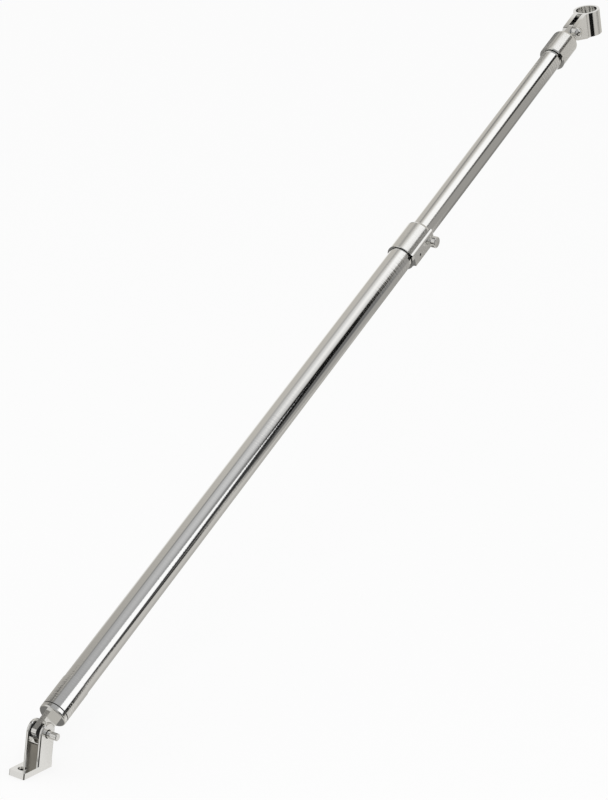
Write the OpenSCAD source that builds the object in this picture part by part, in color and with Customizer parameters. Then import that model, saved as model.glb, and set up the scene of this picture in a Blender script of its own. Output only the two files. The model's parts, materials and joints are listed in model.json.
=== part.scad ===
// Telescopic support pole: a hinged foot bracket, two tubes that slide in each other, and a hinged ring.
// Millimetres, +Z up. The origin is the centre of the foot's fixing hole, on the underside of the plate.
// The pole leans back towards +Y, and the hinge pin of the foot lies along X.

/* [Foot bracket] */
// Width of the base plate, and over the two cheeks
foot_w = 16; // [13:0.5:26]
// Thickness of the base plate
plate_t = 5.5; // [3:0.5:8]
// Height of the hinge pin above the underside of the plate
pivot_h = 33; // [28:0.5:45]
// Distance along the plate from the fixing hole to the hinge pin
hole_to_pivot = 21.5; // [19:0.5:35]
// Distance from the fixing hole to the front edge of the plate
hole_to_front = 8.4; // [6:0.2:14]
// Diameter of the fixing hole
fixing_hole_d = 8.4; // [4:0.2:10]
// Thickness of each cheek
cheek_t = 3; // [2:0.25:4]
// Radius of the cheeks' round tops, and half their width
cheek_r = 9.9; // [8:0.1:12]
// Thickness of the cross web between the cheeks
web_t = 3; // [2:0.25:5]
// Distance from the front edge of the cheeks to the front of the cross web
web_setback = 3; // [1:0.25:5]
// Drop from the hinge pin to the top of the cross web
web_drop = 10; // [9:0.25:13]
// Corner radius of the plate
plate_corner_r = 1.2; // [0.5:0.1:3]

/* [Hinge screws] */
// Diameter of the two hinge screws
screw_d = 8; // [5:0.5:9]
// Pitch of their thread
screw_pitch = 1.25; // [0.8:0.05:1.5]
// Diameter of their domed heads
head_d = 12.5; // [10:0.5:14]
// Height of their domed heads
head_h = 4; // [2.5:0.25:5]
// Width of the driver slot
slot_w = 1.6; // [1:0.1:2]
// Depth of the driver slot
slot_depth = 1.9; // [1:0.1:2.2]
// Length of thread that stands out of the foot bracket
foot_screw_proud = 9.5; // [2:0.5:14]
// Length of thread that stands out of the ring's far jaw
ring_screw_proud = 1.5; // [0.5:0.25:4]
// Outer diameter of the black spacers beside the foot's tongue
spacer_d = 14; // [11:0.5:16]

/* [Lower plug] */
// Lean of the pole away from upright
lean = 58.6; // [0:0.1:65]
// Thickness of both tongues
tongue_t = 5; // [4:0.25:7]
// Width of the lower tongue
tongue_w = 18.6; // [16:0.1:19]
// Reach of the lower tongue past its hinge pin
tongue_reach = 8; // [7:0.1:8.5]
// Corner radius of the lower tongue
tongue_corner_r = 3.2; // [2.8:0.1:6]
// Distance from the hinge pin to the flange's underside
flange_from_pivot = 17.6; // [14:0.1:30]
// Thickness of the flange
flange_t = 4.5; // [3:0.1:8]
// Radius of the flange's lower edge
flange_edge_r = 1.5; // [0.5:0.1:2.5]
// Length of the plug inside the tube
plug_l = 30; // [15:1:60]
// Length of the thin sleeve over the tube's end
sleeve_l = 32.5; // [20:0.5:60]
// Wall of the thin sleeve
sleeve_wall = 0.4; // [0.3:0.05:1.5]
// Diameter of the roll pin that holds the plug
roll_pin_d = 3; // [2:0.5:5]

/* [Tubes] */
// Outer diameter of the outer tube
outer_d = 25; // [24.6:0.1:27]
// Wall of the outer tube
outer_wall = 1.25; // [0.8:0.05:1.3]
// Length of the outer tube
outer_l = 642; // [400:1:900]
// Outer diameter of the inner tube
inner_d = 22; // [18:0.1:22.1]
// Wall of the inner tube
inner_wall = 1.5; // [0.8:0.05:3]
// Length of the inner tube
inner_l = 597; // [450:1:620]
// Length of the inner tube that shows above the collar
inner_shown = 294.7; // [120:0.1:400]
// Length of the nylon glide on the inner tube's lower end
glide_l = 40; // [15:1:60]
// Length of the glide's spigot inside the inner tube
glide_spigot_l = 22; // [10:1:40]
// Diameter of the air hole through the glide
glide_bore_d = 8; // [3:0.5:12]

/* [Collar] */
// Outer diameter of the collar
collar_d = 29; // [28:0.1:34]
// Length of the outer tube inside the collar
collar_grip_l = 19.8; // [16:0.1:30]
// Length of the collar above the outer tube's end
collar_head_l = 22; // [20:0.1:30]
// Length of the nylon bush at the outer tube's end
bush_l = 6.5; // [3:0.5:8]
// Radius of the collar's rounded top edge
collar_top_r = 4.75; // [2:0.05:6]
// Width of the dark ring round the tube at the collar's mouth
mouth_gap = 0.9; // [0.3:0.05:1.1]
// Depth of the ring at the mouth
mouth_depth = 2.5; // [1:0.1:4]
// Distance from the tube's axis to the flat face of the boss
boss_reach = 16.5; // [16:0.1:22]
// Width of the boss's flat face
boss_w = 12.5; // [9:0.1:14]
// Radius that blends the boss into the collar
boss_blend_r = 4; // [1:0.1:5]
// Diameter of the small locking screw in the boss
grub_d = 3; // [2:0.1:4]
// Height of the small locking screw above the collar's mouth
grub_h = 10.7; // [6:0.1:14]
// Distance from the locking screw to the thumbscrew
grub_to_thumb = 21.3; // [16:0.1:24]
// Width across the flats of the locking screws' sockets
grub_socket_af = 1.5; // [0.9:0.1:1.8]

/* [Thumbscrew] */
// Diameter of the knob
knob_d = 11.5; // [8:0.1:14]
// Thickness of the knob
knob_t = 5.5; // [3:0.1:10]
// Radius of the knob's rounded edges
knob_edge_r = 1; // [0.3:0.1:1.4]
// Gap between the knob and the boss
knob_gap = 2; // [1:0.1:6]
// Diameter of the thumbscrew's stem
stem_d = 5; // [3:0.5:6]
// Pitch of the thumbscrew's thread
stem_pitch = 0.8; // [0.5:0.1:1]
// Thickness of the soft pad on the stem's tip
pad_t = 1.5; // [1:0.1:2]
// Gap between the pad and the inner tube
pad_gap = 0.3; // [0.25:0.05:0.5]

/* [Upper ferrule] */
// Outer diameter of the ferrule
ferrule_d = 28.2; // [27:0.1:32]
// Length of the ferrule's straight part
ferrule_l = 29; // [28:0.1:50]
// Radius of the ferrule's shoulder
shoulder_r = 5; // [2:0.1:6]
// Width of the dark ring round the inner tube at the ferrule's mouth
ferrule_mouth_gap = 1; // [0.3:0.05:1.5]
// Distance from the top of the ferrule's shoulder to the ring's hinge pin
eye_from_shoulder = 13.8; // [9.5:0.1:16]
// Radius of the upper tongue's round end, and half its width
eye_r = 8; // [7:0.1:8.5]
// Turn of the inner tube about its own axis
inner_turn = 7.6; // [-180:0.1:180]

/* [Ring] */
// Tilt of the ring about its hinge pin
ring_tilt = -14.5; // [-84:0.1:84]
// Outer diameter of the ring
ring_d = 28; // [27:0.1:34]
// Wall of the ring
ring_wall = 2.8; // [2:0.1:4]
// Length of the ring along its bore
ring_l = 26.3; // [20:0.1:27]
// Distance from the hinge pin to the ring's axis
ring_reach = 34.6; // [33:0.1:45]
// Width over the two jaws
jaws_w = 15.2; // [12:0.1:18]
// Gap between the jaws
jaw_gap = 5.6; // [5.5:0.1:7.5]
// Radius of the jaws' round noses
jaw_nose_r = 8; // [7:0.1:9]
// Distance from the hinge pin to where the jaws reach their full height
jaw_full_at = 17.8; // [14:0.1:20]
// Radius that blends the jaws into the ring
jaw_blend_r = 7; // [2:0.1:9]

/* [Clearances] */
// Running clearance on the radius of hinge pins, glides and bushes
running_gap = 0.05; // [0.02:0.01:0.09]
// Clearance on the radius of parts that are fixed in each other
fixed_gap = 0.02; // [0.01:0.01:0.04]
// Free clearance round the inner tube in the collar
free_gap = 0.3; // [0.2:0.05:0.6]
// Small bevel on sharp edges
edge = 0.4; // [0.1:0.1:0.6]

/* [Hidden] */
$fn = 96;
over = 1;
thread_share = 0.613;
pole_d = outer_d + 2 * fixed_gap + 2 * sleeve_wall;
cheek_gap = foot_w - 2 * cheek_t;
plate_back = hole_to_pivot + cheek_r;
screw_r = screw_d / 2;
hinge_r = screw_r + running_gap;
spacer_t = (cheek_gap - tongue_t) / 2 - 2 * running_gap;
tube_low = flange_from_pivot + flange_t;
tube_high = tube_low + outer_l;
outer_bore_r = outer_d / 2 - outer_wall;
inner_r = inner_d / 2;
inner_bore_r = inner_r - inner_wall;
collar_low = tube_high - collar_grip_l;
collar_high = tube_high + collar_head_l;
collar_seat_r = outer_d / 2 + fixed_gap;
ferrule_low = collar_high + inner_shown;
inner_high = ferrule_low + ferrule_l - inner_wall * 5;
inner_low = inner_high - inner_l;
ferrule_top = ferrule_low + ferrule_l + shoulder_r;
ring_pivot = ferrule_top + eye_from_shoulder;
grub_at = collar_low + grub_h;
thumb_at = grub_at + grub_to_thumb;
grub_l = boss_reach - outer_d / 2 - mouth_gap * 1.6;
pad_low = inner_r + pad_gap;
ring_bore_r = ring_d / 2 - ring_wall;

// Frame of the pole: z runs up its axis from the foot's hinge pin, x along that pin
module at_pole() {
    translate([0, hole_to_pivot, pivot_h]) rotate([-lean, 0, 0]) children();
}

// Frame of the inner tube, turned about the pole's axis
module at_inner() {
    at_pole() rotate([0, 0, -inner_turn]) children();
}

// Frame of the ring: z points from its hinge pin to the ring's axis, y along the ring's bore
module at_ring() {
    at_inner() translate([0, 0, ring_pivot]) rotate([ring_tilt, 0, 0]) children();
}

// A tube or a disc along z, from low to high, with small bevels on its outer edges
module turned(r_out, r_in, low, high, bevel) {
    rotate_extrude()
        polygon([
            [r_in, low], [r_out - bevel, low], [r_out, low + bevel],
            [r_out, high - bevel], [r_out - bevel, high], [r_in, high]
        ]);
}

// A drill along x, centred on the frame's origin
module cross_drill(r, half) {
    rotate([0, 90, 0]) cylinder(r = r, h = 2 * half, center = true);
}

// Half profile of a dome on the radius r, standing on the x axis
module dome_profile(r, h) {
    ball_r = (r * r + h * h) / (2 * h);
    intersection() {
        translate([0, h - ball_r]) circle(r = ball_r);
        square([r, h]);
    }
}

// Domed screw along z: the head stands above z = 0, the shank hangs below it and its thread starts at plain_l
module domed_screw(shank_l, plain_l) {
    root_r = screw_r - screw_pitch * thread_share;
    turns = floor((shank_l - plain_l) / screw_pitch);
    difference() {
        union() {
            rotate_extrude() dome_profile(head_d / 2, head_h);
            translate([0, 0, -plain_l]) cylinder(r = screw_r, h = plain_l + slot_depth);
            rotate_extrude()
                polygon(concat(
                    [[0, -plain_l + edge]],
                    [[screw_r, -plain_l + edge]],
                    [for (i = [0 : turns - 1]) each [
                        [screw_r, -plain_l - (i + 0.1) * screw_pitch],
                        [root_r, -plain_l - (i + 0.5) * screw_pitch],
                        [screw_r, -plain_l - (i + 0.9) * screw_pitch]
                    ]],
                    [[screw_r, -plain_l - turns * screw_pitch]],
                    [[root_r, -plain_l - turns * screw_pitch - (screw_r - root_r)]],
                    [[0, -plain_l - turns * screw_pitch - (screw_r - root_r)]]
                ));
        }
        translate([-head_d / 2 - over, -slot_w / 2, head_h - slot_depth])
            cube([head_d + 2 * over, slot_w, slot_depth + over]);
    }
}

// Small locking screw along z, from low to low + l, with a socket in its top
module locking_screw(r, low, l) {
    difference() {
        turned(r, 0, low, low + l, edge / 2);
        translate([0, 0, low + l / 2])
            cylinder(r = grub_socket_af / sqrt(3), h = l, $fn = 6);
    }
}

module foot_plate() {
    corner_y = hole_to_front - plate_corner_r;
    corner_x = foot_w / 2 - plate_corner_r;
    linear_extrude(plate_t) {
        translate([-foot_w / 2, -corner_y]) square([foot_w, corner_y + plate_back]);
        translate([-corner_x, -hole_to_front]) square([2 * corner_x, hole_to_front]);
        for (side = [-1, 1])
            translate([side * corner_x, -corner_y]) circle(r = plate_corner_r);
    }
}

module cheek(side) {
    translate([side * (foot_w - cheek_t) / 2, hole_to_pivot, 0]) {
        translate([0, 0, pivot_h]) cross_drill(cheek_r, cheek_t / 2);
        translate([-cheek_t / 2, -cheek_r, 0]) cube([cheek_t, 2 * cheek_r, pivot_h]);
    }
}

module foot_bracket() {
    web_y = hole_to_pivot - cheek_r + web_setback;
    color("silver")
    difference() {
        union() {
            foot_plate();
            for (side = [-1, 1]) cheek(side);
            translate([-foot_w / 2 + cheek_t / 2, web_y, plate_t / 2])
                cube([foot_w - cheek_t, web_t, pivot_h - web_drop - plate_t / 2]);
        }
        translate([0, 0, -over]) cylinder(d = fixing_hole_d, h = plate_t + 2 * over);
        translate([0, hole_to_pivot, pivot_h]) cross_drill(hinge_r, foot_w);
    }
}

module foot_pivot_screw() {
    color("gainsboro")
    translate([-foot_w / 2, hole_to_pivot, pivot_h])
        rotate([0, -90, 0])
            domed_screw(foot_w + foot_screw_proud, foot_w - cheek_t);
}

module foot_spacer(side) {
    color("black")
    translate([side * (tongue_t / 2 + running_gap + spacer_t / 2), hole_to_pivot, pivot_h])
        rotate([0, 90, 0])
            translate([0, 0, -spacer_t / 2])
                difference() {
                    cylinder(d = spacer_d, h = spacer_t);
                    translate([0, 0, -over]) cylinder(r = hinge_r, h = spacer_t + 2 * over);
                }
}

module lower_plug() {
    root = flange_from_pivot + flange_t / 2;
    inner_w = tongue_w - 2 * tongue_corner_r;
    color("silver")
    at_pole()
    difference() {
        union() {
            rotate([90, 0, 90])
                translate([0, 0, -tongue_t / 2])
                    linear_extrude(tongue_t) {
                        translate([-tongue_w / 2, tongue_corner_r - tongue_reach])
                            square([tongue_w, root + tongue_reach - tongue_corner_r]);
                        translate([-inner_w / 2, -tongue_reach]) square([inner_w, tongue_reach]);
                        for (side = [-1, 1])
                            translate([side * inner_w / 2, tongue_corner_r - tongue_reach])
                                circle(r = tongue_corner_r);
                    }
            rotate_extrude() {
                translate([0, flange_from_pivot]) square([pole_d / 2 - flange_edge_r, flange_t]);
                translate([0, flange_from_pivot + flange_edge_r])
                    square([pole_d / 2, flange_t - flange_edge_r]);
                translate([pole_d / 2 - flange_edge_r, flange_from_pivot + flange_edge_r])
                    circle(r = flange_edge_r);
            }
            turned(outer_bore_r - fixed_gap, 0, root, tube_low + plug_l, edge);
        }
        cross_drill(hinge_r, tongue_t);
        translate([0, 0, tube_low + plug_l / 2]) cross_drill(roll_pin_d / 2 + fixed_gap, outer_d);
    }
}

module lower_plug_pin() {
    color("dimgray")
    at_pole()
        translate([0, 0, tube_low + plug_l / 2])
            rotate([0, 90, 0])
                turned(roll_pin_d / 2, roll_pin_d / 4, -outer_d / 2 + edge / 4, outer_d / 2 - edge / 4, edge / 2);
}

module lower_sleeve() {
    color("silver")
    at_pole()
        turned(pole_d / 2, outer_d / 2 + fixed_gap, tube_low, tube_low + sleeve_l, sleeve_wall / 3);
}

module outer_tube() {
    color("silver")
    at_pole()
    difference() {
        turned(outer_d / 2, outer_bore_r, tube_low, tube_high, edge / 2);
        translate([0, 0, tube_low + plug_l / 2]) cross_drill(roll_pin_d / 2 + fixed_gap, outer_d);
    }
}

// Round body of the collar: straight, then rounded over at its top
module collar_round() {
    arc_at = collar_high - collar_top_r;
    arc_x = collar_d / 2 - collar_top_r;
    rotate_extrude() {
        translate([0, collar_low]) square([collar_d / 2, arc_at - collar_low]);
        translate([0, arc_at - over]) square([arc_x, collar_top_r + over]);
        intersection() {
            translate([arc_x, arc_at]) circle(r = collar_top_r);
            translate([0, arc_at - over]) square([collar_d, collar_d]);
        }
    }
}

// Cross section of the boss, with its blend into the round body
module boss_section() {
    blend_y = boss_w / 2 + boss_blend_r;
    blend_x = sqrt(pow(collar_d / 2 + boss_blend_r, 2) - pow(blend_y, 2));
    touch_share = collar_d / 2 / (collar_d / 2 + boss_blend_r);
    difference() {
        polygon([
            [0, -blend_y * touch_share],
            [blend_x * touch_share, -blend_y * touch_share],
            [min(blend_x, boss_reach), -boss_w / 2], [boss_reach, -boss_w / 2],
            [boss_reach, boss_w / 2], [min(blend_x, boss_reach), boss_w / 2],
            [blend_x * touch_share, blend_y * touch_share],
            [0, blend_y * touch_share]
        ]);
        for (side = [-1, 1]) translate([blend_x, side * blend_y]) circle(r = boss_blend_r);
    }
}

// Side view of the boss: rounded over at its top like the body
module boss_side() {
    arc_at = collar_high - collar_top_r;
    arc_x = boss_reach - collar_top_r;
    translate([0, collar_low]) square([boss_reach, arc_at - collar_low]);
    translate([0, arc_at - over]) square([arc_x, collar_top_r + over]);
    intersection() {
        translate([arc_x, arc_at]) circle(r = collar_top_r);
        translate([0, arc_at - over]) square([collar_d, collar_d]);
    }
}

module collar_body() {
    color("silver")
    at_pole()
    difference() {
        union() {
            collar_round();
            intersection() {
                translate([0, 0, collar_low]) linear_extrude(collar_high - collar_low) boss_section();
                rotate([90, 0, 0]) translate([0, 0, -boss_w]) linear_extrude(2 * boss_w) boss_side();
            }
        }
        translate([0, 0, collar_low - over])
            cylinder(r = outer_d / 2 + mouth_gap, h = mouth_depth + over);
        translate([0, 0, collar_low])
            cylinder(r = collar_seat_r, h = collar_grip_l + bush_l);
        translate([0, 0, tube_high]) cylinder(r = inner_r + free_gap, h = collar_head_l + over);
        translate([0, 0, grub_at]) rotate([0, 90, 0]) cylinder(r = grub_d / 2, h = boss_reach + over);
        translate([0, 0, thumb_at])
            rotate([0, 90, 0]) cylinder(r = stem_d / 2 + running_gap, h = boss_reach + over);
    }
}

module collar_bush() {
    color("ivory")
    at_pole()
        turned(collar_seat_r - fixed_gap, inner_r + running_gap, tube_high, tube_high + bush_l, edge / 2);
}

module collar_grub_screw() {
    color("gray")
    at_pole()
        translate([0, 0, grub_at])
            rotate([0, 90, 0])
                locking_screw(grub_d / 2 - fixed_gap, outer_d / 2 + fixed_gap, grub_l);
}

module pressure_pad() {
    color("ivory")
    at_pole()
        translate([0, 0, thumb_at])
            rotate([0, 90, 0])
                turned(stem_d / 2 - fixed_gap, 0, pad_low, pad_low + pad_t, edge / 2);
}

module thumb_stem() {
    tip = pad_low + pad_t + fixed_gap;
    knob_low = boss_reach + knob_gap;
    color("gainsboro")
    at_pole()
        translate([0, 0, thumb_at])
            rotate([0, 90, 0])
                turned(stem_d / 2, 0, tip, knob_low + knob_t / 2, edge);
}

module thumb_knob() {
    knob_low = boss_reach + knob_gap;
    flat_r = knob_d / 2 - knob_edge_r;
    color("silver")
    at_pole()
        translate([0, 0, thumb_at])
            rotate([0, 90, 0])
                difference() {
                    rotate_extrude() {
                        translate([0, knob_low]) square([flat_r, knob_t]);
                        translate([0, knob_low + knob_edge_r])
                            square([knob_d / 2, knob_t - 2 * knob_edge_r]);
                        for (h = [knob_edge_r, knob_t - knob_edge_r])
                            translate([flat_r, knob_low + h]) circle(r = knob_edge_r);
                    }
                    translate([0, 0, knob_low - over])
                        cylinder(r = stem_d / 2 + fixed_gap, h = knob_t / 2 + over + fixed_gap);
                }
}

module glide_bush() {
    color("ivory")
    at_pole()
    difference() {
        union() {
            turned(outer_bore_r - running_gap, 0, inner_low - glide_l, inner_low - running_gap, edge);
            turned(inner_bore_r - running_gap, 0, inner_low - glide_l / 2, inner_low + glide_spigot_l, edge);
        }
        translate([0, 0, inner_low - glide_l - over])
            cylinder(d = glide_bore_d, h = glide_l + glide_spigot_l + 2 * over);
    }
}

module inner_tube() {
    color("silver")
    at_inner()
        turned(inner_r, inner_bore_r, inner_low, inner_high, edge / 2);
}

module upper_eye_ferrule() {
    shoulder_low = ferrule_low + ferrule_l;
    arc_x = ferrule_d / 2 - shoulder_r;
    color("silver")
    at_inner()
    difference() {
        union() {
            rotate_extrude() {
                translate([0, ferrule_low]) square([ferrule_d / 2, ferrule_l]);
                translate([0, shoulder_low]) square([arc_x, shoulder_r]);
                intersection() {
                    translate([arc_x, shoulder_low]) circle(r = shoulder_r);
                    translate([0, shoulder_low - over]) square([ferrule_d, ferrule_d]);
                }
            }
            translate([-tongue_t / 2, -eye_r, shoulder_low])
                cube([tongue_t, 2 * eye_r, ring_pivot - shoulder_low]);
            translate([0, 0, ring_pivot]) cross_drill(eye_r, tongue_t / 2);
        }
        translate([0, 0, ferrule_low - over])
            cylinder(r = inner_r + fixed_gap, h = inner_high - ferrule_low + over);
        translate([0, 0, ferrule_low - over])
            cylinder(r = inner_r + ferrule_mouth_gap, h = mouth_depth + over);
        translate([0, 0, ring_pivot]) cross_drill(hinge_r, tongue_t);
        translate([0, 0, ferrule_low + ferrule_l / 2])
            rotate([0, -90, 0]) cylinder(r = grub_d / 2, h = ferrule_d);
    }
}

module ferrule_grub_screw() {
    color("gray")
    at_inner()
        translate([0, 0, ferrule_low + ferrule_l / 2])
            rotate([0, -90, 0])
                locking_screw(grub_d / 2 - fixed_gap, inner_r + fixed_gap, (ferrule_d / 2 - inner_r) * 0.8);
}

// Outline of the ring and its jaws, seen along the bore: x across the jaws, y towards the ring's axis
module ring_section() {
    blend_x = jaws_w / 2 + jaw_blend_r - edge / 8;
    blend_y = ring_reach - sqrt(pow(ring_d / 2 + jaw_blend_r - edge / 8, 2) - pow(blend_x, 2));
    touch_share = ring_d / 2 / (ring_d / 2 + jaw_blend_r);
    touch_x = blend_x * touch_share;
    touch_y = ring_reach + (blend_y - ring_reach) * touch_share;
    difference() {
        union() {
            translate([0, ring_reach]) circle(r = ring_d / 2);
            translate([-jaws_w / 2, -jaw_nose_r]) square([jaws_w, blend_y + jaw_nose_r]);
            difference() {
                polygon([
                    [-jaws_w / 2, blend_y], [jaws_w / 2, blend_y], [touch_x, touch_y],
                    [touch_x, ring_reach], [-touch_x, ring_reach], [-touch_x, touch_y]
                ]);
                for (side = [-1, 1]) translate([side * blend_x, blend_y]) circle(r = jaw_blend_r);
            }
        }
        translate([-jaw_gap / 2, -jaw_nose_r - over])
            square([jaw_gap, ring_reach - ring_d / 2 + edge + jaw_nose_r + over]);
    }
}

// Outline of the ring and its jaws, seen along the hinge pin: x towards the ring's axis, y along the bore
module ring_side() {
    half = ring_l / 2;
    corner = sqrt(pow(jaw_full_at, 2) + pow(half, 2));
    turn = atan2(half, jaw_full_at) + acos(jaw_nose_r / corner);
    inner_r_share = 0.99;
    touch = [jaw_nose_r * inner_r_share * cos(turn), jaw_nose_r * inner_r_share * sin(turn)];
    far = ring_reach + ring_d / 2 + over;
    circle(r = jaw_nose_r);
    polygon([
        [touch[0], -touch[1]], [jaw_full_at, -half], [far, -half],
        [far, half], [jaw_full_at, half], touch
    ]);
}

module ring_eye() {
    color("silver")
    at_ring()
    difference() {
        intersection() {
            rotate([90, 0, 0]) translate([0, 0, -ring_l]) linear_extrude(2 * ring_l) ring_section();
            rotate([0, -90, 0]) translate([0, 0, -ring_d]) linear_extrude(2 * ring_d) ring_side();
        }
        translate([0, 0, ring_reach]) rotate([90, 0, 0]) cylinder(r = ring_bore_r, h = 2 * ring_l, center = true);
        cross_drill(hinge_r, jaws_w);
    }
}

module ring_pivot_screw() {
    jaw_t = (jaws_w - jaw_gap) / 2;
    color("gainsboro")
    at_ring()
        translate([jaws_w / 2, 0, 0])
            rotate([0, 90, 0])
                domed_screw(jaws_w + ring_screw_proud, jaws_w - jaw_t);
}

foot_bracket();
foot_pivot_screw();
foot_spacer(-1);  // foot_spacer_left
foot_spacer(1);  // foot_spacer_right
lower_plug();
lower_plug_pin();
lower_sleeve();
outer_tube();
collar_body();
collar_bush();
collar_grub_screw();
pressure_pad();
thumb_stem();
thumb_knob();
glide_bush();
inner_tube();
upper_eye_ferrule();
ferrule_grub_screw();
ring_eye();
ring_pivot_screw();
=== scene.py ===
"""A polished steel telescopic support pole: hinged foot, two tubes, a collar with a thumbscrew, and a hinged ring.

Lengths are in millimetres in the classes, and become metres where a mesh is made. Each sub-assembly is drawn in its
own frame, whose z axis runs up the pole or towards the ring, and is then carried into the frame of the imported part.
"""

import json
import logging
import math
from dataclasses import dataclass
from enum import Enum
from typing import Optional, Sequence

import bpy
from mathutils import Matrix, Vector

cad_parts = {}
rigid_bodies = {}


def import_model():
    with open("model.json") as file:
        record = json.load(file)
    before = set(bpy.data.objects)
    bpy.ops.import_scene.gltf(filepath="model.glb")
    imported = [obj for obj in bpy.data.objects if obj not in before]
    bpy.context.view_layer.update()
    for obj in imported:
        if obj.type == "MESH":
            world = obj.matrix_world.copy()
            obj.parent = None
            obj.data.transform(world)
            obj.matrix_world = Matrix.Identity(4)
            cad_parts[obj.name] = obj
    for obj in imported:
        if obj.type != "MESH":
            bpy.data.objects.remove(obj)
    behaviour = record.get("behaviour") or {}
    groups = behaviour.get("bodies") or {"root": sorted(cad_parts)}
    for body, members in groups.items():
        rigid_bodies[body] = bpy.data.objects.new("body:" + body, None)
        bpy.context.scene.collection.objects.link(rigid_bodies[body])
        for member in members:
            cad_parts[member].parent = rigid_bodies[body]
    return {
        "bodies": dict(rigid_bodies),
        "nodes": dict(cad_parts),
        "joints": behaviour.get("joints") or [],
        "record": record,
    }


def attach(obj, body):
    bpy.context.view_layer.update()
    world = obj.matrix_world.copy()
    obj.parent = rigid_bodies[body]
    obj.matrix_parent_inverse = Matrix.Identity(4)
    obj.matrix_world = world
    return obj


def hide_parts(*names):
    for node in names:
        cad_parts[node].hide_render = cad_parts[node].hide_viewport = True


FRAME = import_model()
LOG = logging.getLogger("pole")

MM = 0.001
# sides of a turned piece: of tubes and housings, of screws and knobs, and of small holes
ROUND = 160
MIDDLING = 96
FINE = 48
# in millimetres: how far a cut runs past the metal, where a lathe piece starts, and how cast edges are rounded
OVERRUN = 1.0
CORE = 0.5
EASED = 0.3
# sizes that several sub-assemblies share, in millimetres
HINGE_R = 4.05
PIN_AT = 37.1
PIN_R = 1.52

Point = tuple[float, float]
Outline = list[Point]


class Slot(Enum):
    """Material slots of the record that the pieces take their finish from."""

    STEEL = "polished_steel"
    TUBE = "tube_steel"
    SCREW = "screw_steel"
    DARK = "dark_steel"
    BLACK = "black_nylon"
    WHITE = "white_nylon"


class Turn(Enum):
    """Quarter turns that carry a shape drawn in the xy plane, or turned about z, to where it belongs."""

    ALONG_X = Matrix.Rotation(math.radians(90), 4, "Y")
    AGAINST_X = Matrix.Rotation(math.radians(-90), 4, "Y")
    ALONG_Y = Matrix.Rotation(math.radians(-90), 4, "X")
    SIDE_VIEW = Matrix(((0, 0, 1, 0), (1, 0, 0, 0), (0, 1, 0, 0), (0, 0, 0, 1)))
    FRONT_VIEW = Matrix.Rotation(math.radians(90), 4, "X")


def arc(centre: Point, radius: float, start: float, end: float, steps: int = 12) -> Outline:
    """Points along an arc.

    Args:
        centre: the arc's centre.
        radius: its radius.
        start: angle of its first point, in degrees.
        end: angle of its last point.
        steps: how many straight steps it has.

    Returns:
        The points, first and last among them.
    """
    angles = [math.radians(start + (end - start) * i / steps) for i in range(steps + 1)]
    return [(centre[0] + radius * math.cos(a), centre[1] + radius * math.sin(a)) for a in angles]


def mirrored(points: Outline) -> Outline:
    """Returns the points with their first coordinate negated, in reverse order."""
    return [(-x, y) for x, y in reversed(points)]


def shift(x: float = 0.0, y: float = 0.0, z: float = 0.0) -> Matrix:
    """Returns a move given in millimetres."""
    return Matrix.Translation((x * MM, y * MM, z * MM))


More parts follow.
